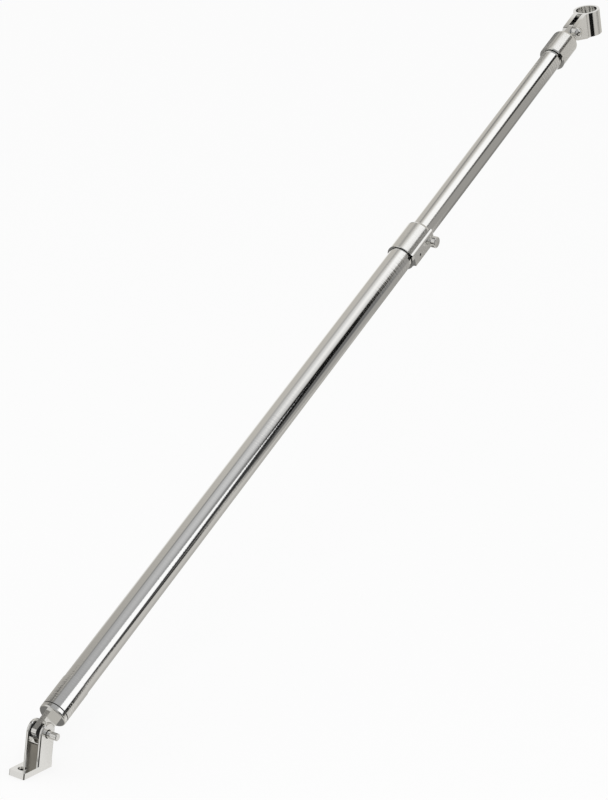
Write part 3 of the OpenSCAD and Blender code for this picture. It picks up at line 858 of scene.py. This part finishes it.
@dataclass(frozen=True)
class DomedScrew:
    """A slotted dome-head screw along z: its head above z = 0, its shank below.

    The thread's shares are of its pitch, but for flank and crest, which are of half the ridge's foot.
    """

    diameter: float = 8.0
    head: float = 12.5
    head_h: float = 4.0
    slot: float = 1.6
    slot_depth: float = 1.9
    edge: float = 0.2
    tip: float = 0.4
    pitch: float = 1.25
    root_share: float = 0.613
    half_share: float = 0.46
    flank: float = 0.8
    crest: float = 0.4
    sunk: float = 0.15

    def made(self, name: str, length: float, plain: float) -> bpy.types.Object:
        """Models the screw.

        Args:
            name: the piece's name.
            length: length under the head, without the bevel of its end.
            plain: length of the plain part of the shank.

        Returns:
            The screw, its slot along x.
        """
        r, head_r = self.diameter / 2, self.head / 2
        ball = (head_r ** 2 + self.head_h ** 2) / (2 * self.head_h)
        rim = math.degrees(math.asin((ball - self.head_h) / ball))
        dome = arc((0, self.head_h - ball), ball, 89, rim, 24)
        root = r - self.pitch * self.root_share
        bottom = -length - r + root
        end = [(root, -plain - r + root), (root, bottom + self.tip), (root - self.tip, bottom)]
        body = Bench.turned(name, dome + [(r, 0), (r, -plain)] + end, sides=MIDDLING)
        Bench.clear()
        bpy.ops.mesh.primitive_cube_add(size=MM, location=(0, 0, 0))
        slot = bpy.context.object
        bpy.ops.transform.resize(value=(self.head + 2 * OVERRUN, self.slot, self.slot_depth * 2))
        body = Bench.joined(body, Bench.moved(slot, shift(z=self.head_h)), "DIFFERENCE")
        body = Bench.bevelled(body, self.edge, 2, 40)
        body = Bench.joined(body, self._thread(length, plain), "UNION")
        return Bench.smoothed(body, 40)

    def _thread(self, length: float, plain: float) -> bpy.types.Object:
        """Models the ridge of the thread as one unbroken helix.

        Args:
            length: height of its lower end under the head.
            plain: how far down the shank it starts.

        Returns:
            The ridge.
        """
        depth = self.pitch * self.root_share
        root = self.diameter / 2 - depth
        turns = int((length - plain) / self.pitch) - 1
        half = self.pitch * self.half_share
        Bench.clear()
        bpy.ops.mesh.primitive_plane_add(size=MM, location=(0, 0, 0), rotation=(math.pi / 2, 0, 0))
        ridge = bpy.context.object
        bpy.ops.object.mode_set(mode="EDIT")
        bpy.ops.mesh.select_all(action="SELECT")
        bpy.ops.mesh.merge(type="CENTER")
        bpy.ops.transform.translate(value=((root - self.sunk) * MM, 0, (half - length) * MM))
        rise = half * self.flank
        for x, z in ((self.sunk, -half), (depth, rise), (0, half * self.crest), (-depth, rise)):
            bpy.ops.mesh.extrude_region_move(TRANSFORM_OT_translate={"value": (x * MM, 0, z * MM)})
        bpy.ops.mesh.select_all(action="SELECT")
        bpy.ops.mesh.edge_face_add()
        bpy.ops.object.mode_set(mode="OBJECT")
        bpy.ops.object.transform_apply(location=True, rotation=True, scale=True)
        wind = ridge.modifiers.new("wind", "SCREW")
        wind.angle = 2 * math.pi
        wind.screw_offset = self.pitch * MM
        wind.iterations = turns
        wind.steps = wind.render_steps = FINE
        bpy.ops.object.modifier_apply(modifier=wind.name)
        bpy.ops.object.mode_set(mode="EDIT")
        Bench.close()
        return ridge


@dataclass(frozen=True)
class Foot:
    """The bracket, in the part's frame, with its hinge screw and two spacers."""

    width: float = 16.0
    plate: float = 5.5
    front: float = -8.4
    corner: float = 1.2
    pivot: Point = (21.5, 33.0)
    cheek: float = 3.0
    cheek_r: float = 9.9
    web: tuple[float, float, float] = (14.6, 17.6, 23.0)
    web_foot: float = 1.0
    web_edge: float = 0.6
    soft: float = 1.1
    edge: float = 0.45
    spacer_edge: float = 0.25
    hole_r: float = 4.2
    hinge_r: float = HINGE_R
    proud: float = 9.5
    spacer_r: float = 7.0
    spacer_span: Point = (2.55, 4.95)
    screw: DomedScrew = DomedScrew()

    def build(self, fitter: Fitter) -> None:
        """Models the foot and sets it down.

        Args:
            fitter: sets the finished pieces down.
        """
        pin = shift(0, *self.pivot)
        fitter.set_down(self._bracket(), fitter.frames.foot, "foot", "foot_bracket", "cast")
        # the web's dark finish is painted shade of its recess between the cheeks
        fitter.set_down(self._web(), fitter.frames.foot, "foot", "foot_bracket", "rough")
        screw = self.screw.made("foot_screw", self.width + self.proud, self.width - self.cheek)
        place = fitter.frames.foot @ shift(-self.width / 2) @ pin @ Turn.AGAINST_X.value
        fitter.set_down(screw, place, "foot", "foot_pivot_screw", "screw")
        near, far = self.spacer_span
        for node, low, high in (("foot_spacer_left", -far, -near), ("foot_spacer_right", near, far)):
            wall = [(self.hinge_r, low), (self.spacer_r, low), (self.spacer_r, high), (self.hinge_r, high)]
            spacer = Bench.bevelled(Bench.turned(node + "_disc", wall, True, MIDDLING), self.spacer_edge)
            place = fitter.frames.foot @ pin @ Turn.ALONG_X.value
            fitter.set_down(Bench.smoothed(spacer), place, "foot", node, "black")

    def _bracket(self) -> bpy.types.Object:
        """Models the plate and its two cheeks as one piece.

        Returns:
            The bracket.
        """
        half, back = self.width / 2, self.pivot[0] + self.cheek_r
        front = arc((half - self.corner, self.front + self.corner), self.corner, -90, 0, 6)
        bracket = Bench.drawn("bracket", mirrored(front) + front + [(half, back), (-half, back)], 0, self.plate)
        top = arc(self.pivot, self.cheek_r, 0, 180, FINE)
        feet = [(self.pivot[0] - self.cheek_r, 0.0), (self.pivot[0] + self.cheek_r, 0.0)]
        for low in (-half, half - self.cheek):
            cheek = Bench.bevelled(Bench.drawn("cheek", top + feet, low, low + self.cheek), self.soft, 4, 60)
            Bench.joined(bracket, Bench.moved(cheek, Turn.SIDE_VIEW.value), "UNION")
        Bench.drilled(bracket, self.hole_r, shift(z=-OVERRUN), self.plate + 2 * OVERRUN)
        pin = shift(-half - OVERRUN, *self.pivot) @ Turn.ALONG_X.value
        Bench.drilled(bracket, self.hinge_r, pin, self.width + 2 * OVERRUN)
        return Bench.smoothed(Bench.bevelled(bracket, self.edge))

    def _web(self) -> bpy.types.Object:
        """Models the rough cross web between the cheeks, its dark tint painted shade of the recess it sits in.

        Returns:
            The web.
        """
        near, far, high = self.web
        inner = self.width / 2 - self.cheek / 2
        low = self.web_foot
        web = Bench.drawn("web", [(near, low), (far, low), (far, high), (near, high)], -inner, inner)
        return Bench.smoothed(Bench.bevelled(Bench.moved(web, Turn.SIDE_VIEW.value), self.web_edge))


@dataclass(frozen=True)
class Plug:
    """The tongue, flange and plug at the foot of the pole, in the pole's frame, and the thin sleeve round it.

    A black ring of painted shade parts the sleeve's lower end from the flange: it stands in for the shaded gap at that
    joint.
    """

    tongue: Point = (5.0, 18.6)
    reach: float = 8.0
    corner: float = 3.2
    flange: Point = (17.6, 22.1)
    flange_r: float = 12.92
    flange_edge: float = 1.5
    edge: float = 0.35
    plug_r: float = 11.23
    plug_end: float = 52.1
    sleeve: tuple[float, float, float] = (12.52, 22.1, 54.6)
    shade_ring: float = 1.0
    shade_ring_drop: float = 0.12
    pin_at: float = PIN_AT
    pin_r: float = PIN_R
    hinge_r: float = HINGE_R

    def build(self, fitter: Fitter) -> None:
        """Models the plug and the sleeve and sets them down.

        Args:
            fitter: sets the finished pieces down.
        """
        fitter.set_down(self._plug(), fitter.frames.pole, "outer_pole", "lower_plug", "cast")
        inner, low, high = self.sleeve
        shade_ring = low + self.shade_ring
        # the second ring is painted shade: a black band that stands in for the shaded gap between the sleeve's end and
        # the flange
        for name, start, end, radius, finish in (("sleeve", shade_ring, high, self.flange_r, "tube"),
                                                 ("shade_ring", low, shade_ring, self.flange_r - self.shade_ring_drop, "black")):
            wall = [(inner, start), (radius, start), (radius, end), (inner, end)]
            ring = Bench.smoothed(Bench.bevelled(Bench.turned(name, wall, True), self.shade_ring_drop, 2))
            fitter.set_down(ring, fitter.frames.pole, "outer_pole", "lower_sleeve", finish)

    def _plug(self) -> bpy.types.Object:
        """Models the tongue on its flange, with the plug above it.

        Returns:
            The plug.
        """
        low, high = self.flange
        arc_r = self.flange_r - self.flange_edge
        rim = arc((arc_r, low + self.flange_edge), self.flange_edge, -90, 0, 8)
        up = [(self.flange_r, high), (self.plug_r, high), (self.plug_r, self.plug_end)]
        body = Bench.turned("plug", [(CORE, low)] + rim + up)
        thick, wide = self.tongue
        bottom = self.corner - self.reach
        corner = arc((wide / 2 - self.corner, bottom), self.corner, -90, 0, 12)
        mid = (low + high) / 2
        outline = mirrored(corner) + corner + [(wide / 2, mid), (-wide / 2, mid)]
        tongue = Bench.drawn("tongue", outline, -thick / 2, thick / 2)
        Bench.joined(body, Bench.moved(tongue, Turn.SIDE_VIEW.value), "UNION")
        Bench.drilled(body, self.hinge_r, shift(-thick) @ Turn.ALONG_X.value, 2 * thick)
        reach = self.flange_r + OVERRUN
        Bench.drilled(body, self.pin_r, shift(-reach, 0, self.pin_at) @ Turn.ALONG_X.value, 2 * reach)
        return Bench.smoothed(Bench.bevelled(body, self.edge))


@dataclass(frozen=True)
class Tubes:
    """The outer tube, in the pole's frame, and the inner tube, in its own. Each pair of radii is outside and bore."""

    outer: Point = (12.5, 11.25)
    outer_span: Point = (22.1, 664.1)
    inner: Point = (11.0, 9.5)
    inner_span: Point = (405.3, 1002.3)
    pin_at: float = PIN_AT
    pin_r: float = PIN_R
    edge: float = 0.2

    def build(self, fitter: Fitter) -> None:
        """Models both tubes and sets them down.

        Args:
            fitter: sets the finished pieces down.
        """
        outer = self._tube("tube_outer", self.outer, self.outer_span)
        reach = self.outer[0] + OVERRUN
        Bench.drilled(outer, self.pin_r, shift(-reach, 0, self.pin_at) @ Turn.ALONG_X.value, 2 * reach)
        fitter.set_down(Bench.smoothed(outer), fitter.frames.pole, "outer_pole", "outer_tube", "tube")
        inner = Bench.smoothed(self._tube("tube_inner", self.inner, self.inner_span))
        fitter.set_down(inner, fitter.frames.inner, "inner_pole", "inner_tube", "tube")

    def _tube(self, name: str, radii: Point, span: Point) -> bpy.types.Object:
        """Models one tube with eased ends.

        Args:
            name: its name.
            radii: its outer radius and its bore.
            span: the heights of its ends.

        Returns:
            The tube.
        """
        (out, bore), (low, high) = radii, span
        wall = [(bore, low), (out, low), (out, high), (bore, high)]
        return Bench.bevelled(Bench.turned(name, wall, True), self.edge, 2)


@dataclass(frozen=True)
class Collar:
    """The collar on the outer tube's end, in the pole's frame: a round body with a flat boss towards x.

    Seat and mouth are a bore's radius and the height where it ends, grub and thumb a hole's height and radius.
    """

    radius: float = 14.5
    span: Point = (644.3, 686.1)
    top_r: float = 4.75
    boss_reach: float = 16.5
    boss_w: float = 12.5
    blend: float = 4.0
    seat: Point = (12.52, 670.6)
    mouth: Point = (13.4, 646.8)
    throat_r: float = 11.3
    grub: Point = (655.0, 1.5)
    thumb: Point = (676.3, 2.55)
    boss_root: float = -1.0
    slab_half: float = 20

    def build(self, fitter: Fitter) -> None:
        """Models the collar and sets it down.

        Args:
            fitter: sets the finished pieces down.
        """
        low, high = self.span
        top = arc((self.radius - self.top_r, high - self.top_r), self.top_r, 0, 90, 16)
        body = Bench.turned("collar", [(CORE, low), (self.radius, low)] + top + [(CORE, high)])
        boss = Bench.drawn("boss", self._section(), low, high)
        near = self.boss_reach
        side = arc((near - self.top_r, high - self.top_r), self.top_r, 0, 90, 16)
        base = low - OVERRUN
        slab_outline = [(self.boss_root, base), (near, base)] + side + [(self.boss_root, high)]
        slab = Bench.drawn("slab", slab_outline, -self.slab_half, self.slab_half)
        Bench.joined(boss, Bench.moved(slab, Turn.FRONT_VIEW.value), "INTERSECT")
        Bench.joined(body, boss, "UNION")
        Bench.drilled(body, self.mouth[0], shift(z=low - OVERRUN), self.mouth[1] - low + OVERRUN)
        Bench.drilled(body, self.seat[0], shift(z=low - OVERRUN), self.seat[1] - low + OVERRUN)
        Bench.drilled(body, self.throat_r, shift(z=low), high - low + OVERRUN)
        for height, radius in (self.grub, self.thumb):
            Bench.drilled(body, radius, shift(z=height) @ Turn.ALONG_X.value, near + OVERRUN)
        body = Bench.smoothed(Bench.bevelled(body, EASED))
        fitter.set_down(body, fitter.frames.pole, "outer_pole", "collar_body", "cast")

    def _section(self) -> Outline:
        """Draws the boss as seen along the tube, with the blends into the round body.

        Returns:
            The outline.
        """
        y = self.boss_w / 2 + self.blend
        x = math.sqrt((self.radius + self.blend) ** 2 - y ** 2)
        touch = math.degrees(math.atan2(-y, -x))
        flank = arc((x, y), self.blend, touch + 360, 270, 10)
        flank = [(a, b) for a, b in flank if a < self.boss_reach]
        face = [(self.boss_reach, self.boss_w / 2), (self.boss_reach, -self.boss_w / 2)]
        return [(0.0, flank[0][1])] + flank + face + [(a, -b) for a, b in reversed(flank)] + [(0.0, -flank[0][1])]


@dataclass(frozen=True)
class Thumbscrew:
    """The thumbscrew's stem and knob, drawn along the collar's boss."""

    at: float = 676.3
    stem_r: float = 2.5
    stem: Point = (12.82, 21.25)
    knob_r: float = 5.75
    knob: Point = (18.5, 24.0)
    edge: float = 1.0
    tip: float = 0.4
    stem_edge: float = 0.15
    play: float = 0.02
    crown_r: float = 0.4

    def build(self, fitter: Fitter) -> None:
        """Models the thumbscrew and sets it down.

        Args:
            fitter: sets the finished pieces down.
        """
        place = fitter.frames.pole @ shift(z=self.at) @ Turn.ALONG_X.value
        low, high = self.stem
        rod = [(self.stem_r - self.tip, low), (self.stem_r, low + self.tip), (self.stem_r, high)]
        stem = Bench.smoothed(Bench.bevelled(Bench.turned("stem", rod, sides=FINE), self.stem_edge, 2))
        fitter.set_down(stem, place, "thumbscrew", "thumb_stem", "screw")
        low, high = self.knob
        inner, r = self.stem_r + self.play, self.edge
        near = arc((self.knob_r - r, low + r), r, -90, 0, 8)
        far = arc((self.knob_r - r, high - r), r, 0, 90, 8)
        bottom = (low + high) / 2 + self.play
        outline = [(inner, bottom), (inner, low)] + near + far + [(self.crown_r, high)]
        disc = Bench.smoothed(Bench.turned("knob", outline, sides=MIDDLING), 40)
        fitter.set_down(disc, place, "thumbscrew", "thumb_knob", "cast")


@dataclass(frozen=True)
class Ferrule:
    """The ferrule on the inner tube's end with its tongue, in the inner tube's frame."""

    radius: float = 14.1
    span: Point = (980.8, 1009.8)
    shoulder: float = 5.0
    seat: Point = (11.02, 1002.3)
    mouth: Point = (12.0, 983.3)
    tongue: float = 5.0
    eye: Point = (8.0, 1028.6)
    hinge_r: float = HINGE_R
    grub_r: float = 1.5

    def build(self, fitter: Fitter) -> None:
        """Models the ferrule and sets it down.

        Args:
            fitter: sets the finished pieces down.
        """
        low, straight = self.span
        top = arc((self.radius - self.shoulder, straight), self.shoulder, 0, 90, 16)
        body = Bench.turned("ferrule", [(CORE, low), (self.radius, low)] + top + [(CORE, straight + self.shoulder)])
        eye_r, height = self.eye
        outline = arc((0, height), eye_r, 0, 180, FINE) + [(-eye_r, straight), (eye_r, straight)]
        tongue = Bench.drawn("eye", outline, -self.tongue / 2, self.tongue / 2)
        Bench.joined(body, Bench.moved(tongue, Turn.SIDE_VIEW.value), "UNION")
        Bench.drilled(body, self.mouth[0], shift(z=low - OVERRUN), self.mouth[1] - low + OVERRUN)
        Bench.drilled(body, self.seat[0], shift(z=low - OVERRUN), self.seat[1] - low + OVERRUN)
        Bench.drilled(body, self.hinge_r, shift(-self.tongue, 0, height) @ Turn.ALONG_X.value, 2 * self.tongue)
        middle = shift(z=(low + straight) / 2)
        Bench.drilled(body, self.grub_r, middle @ Turn.AGAINST_X.value, self.radius + OVERRUN)
        body = Bench.smoothed(Bench.bevelled(body, EASED))
        fitter.set_down(body, fitter.frames.inner, "inner_pole", "upper_eye_ferrule", "cast")


@dataclass(frozen=True)
class Ring:
    """The ring with its two jaws and the hinge screw, in the ring's frame: z towards its axis, y along its bore."""

    radius: float = 14.0
    bore: float = 11.2
    length: float = 26.3
    reach: float = 34.6
    jaws: Point = (15.2, 5.6)
    nose: float = 8.0
    full_at: float = 17.8
    blend: float = 7.0
    edge: float = 0.4
    spare: float = 5.0
    hinge_r: float = HINGE_R
    proud: float = 1.5
    screw: DomedScrew = DomedScrew()

    def build(self, fitter: Fitter) -> None:
        """Models the ring and its screw and sets them down.

        Args:
            fitter: sets the finished pieces down.
        """
        wide, gap = self.jaws
        body = Bench.drawn("ring", self._section(), -self.length, self.length)
        Bench.moved(body, Turn.FRONT_VIEW.value)
        side = Bench.drawn("side", self._side(), -self.radius - self.spare, self.radius + self.spare)
        Bench.joined(body, Bench.moved(side, Turn.SIDE_VIEW.value), "INTERSECT")
        bore = shift(0, -self.length, self.reach) @ Turn.ALONG_Y.value
        drill = Bench.moved(Bench.turned("bore", [(self.bore, 0), (self.bore, 2 * self.length)]), bore)
        Bench.joined(body, drill, "DIFFERENCE")
        Bench.drilled(body, self.hinge_r, shift(-wide) @ Turn.ALONG_X.value, 2 * wide)
        body = Bench.smoothed(Bench.bevelled(body, EASED))
        fitter.set_down(body, fitter.frames.ring, "ring", "ring_eye", "cast")
        screw = self.screw.made("ring_screw", wide + self.proud, wide - (wide - gap) / 2)
        place = fitter.frames.ring @ shift(wide / 2) @ Turn.ALONG_X.value
        fitter.set_down(screw, place, "ring", "ring_pivot_screw", "screw")

    def _section(self) -> Outline:
        """Draws the ring and its jaws as seen along the bore.

        Returns:
            The outline.
        """
        wide, gap = (v / 2 for v in self.jaws)
        grown = self.radius + self.blend - self.edge / 8
        x = wide + self.blend - self.edge / 8
        y = self.reach - math.sqrt(grown ** 2 - x ** 2)
        touch = math.degrees(math.atan2(self.reach - y, -x))
        flank = arc((x, y), self.blend, 180, touch, 12)[1:]
        start = math.degrees(math.atan2(flank[-1][1] - self.reach, flank[-1][0]))
        far = arc((0, self.reach), self.radius, start, 90, FINE)
        root = self.reach - self.radius + self.edge
        right = [(gap, root), (gap, -self.nose), (wide, -self.nose), (wide, y)] + flank + far[1:]
        return right + mirrored(right)[1:]

    def _side(self) -> Outline:
        """Draws the ring and its jaws as seen along the hinge pin.

        Returns:
            The outline, as (y, z).
        """
        half = self.length / 2
        corner = math.hypot(self.full_at, half)
        turn = math.degrees(math.atan2(half, self.full_at) + math.acos(self.nose / corner))
        nose = arc((0, 0), self.nose, 90 + turn, 450 - turn, FINE)
        far = self.reach + self.radius + OVERRUN
        return nose + [(half, self.full_at), (half, far), (-half, far), (-half, self.full_at)]


def finishes(pole: Vector) -> dict[str, Finish]:
    """Names the finishes.

    Args:
        pole: the pole's axis, across which the tubes were polished.

    Returns:
        The finishes by name.
    """
    return {
        "tube": Finish(Slot.TUBE, (0.93, 0.93, 0.925), roughness=0.05, smear=0.02, mark_scale=420, along=pole),
        "cast": Finish(Slot.STEEL, (0.92, 0.92, 0.91), roughness=0.10, smear=0.04, wave_depth=0.03),
        # painted shade: the web's dark tint stands in for the shade of its recess between the cheeks
        "rough": Finish(Slot.STEEL, (0.40, 0.38, 0.34), roughness=0.38, smear=0.15, mark_depth=0.04, wave_depth=0.2),
        "screw": Finish(Slot.SCREW, (0.90, 0.90, 0.89), roughness=0.13, smear=0.04),
        "dark": Finish(Slot.DARK, (0.20, 0.20, 0.20), roughness=0.35),
        "black": Finish(Slot.BLACK, (0.012, 0.012, 0.013), metal=0.0, roughness=0.42, smear=0.2),
        "white": Finish(Slot.WHITE, (0.72, 0.70, 0.64), metal=0.0, roughness=0.45),
    }


def main() -> None:
    """Builds the scene."""
    logging.basicConfig(level=logging.INFO, format="%(name)s: %(message)s")
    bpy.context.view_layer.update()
    frames = Frames.of(FRAME)
    up = frames.pole.col[2].xyz
    Studio().build(up)
    Viewpoint().camera()
    fitter = Fitter(frames, finishes(up))
    for sub_assembly in (Foot(), Plug(), Tubes(), Collar(), Thumbscrew(), Ferrule(), Ring()):
        sub_assembly.build(fitter)
    plain = {"lower_plug_pin": "dark", "collar_grub_screw": "dark", "ferrule_grub_screw": "dark",
             "collar_bush": "white", "pressure_pad": "white", "glide_bush": "white"}
    for node, finish in plain.items():
        fitter.painted(FRAME["nodes"][node], finish)


if __name__ == "__main__":
    main()
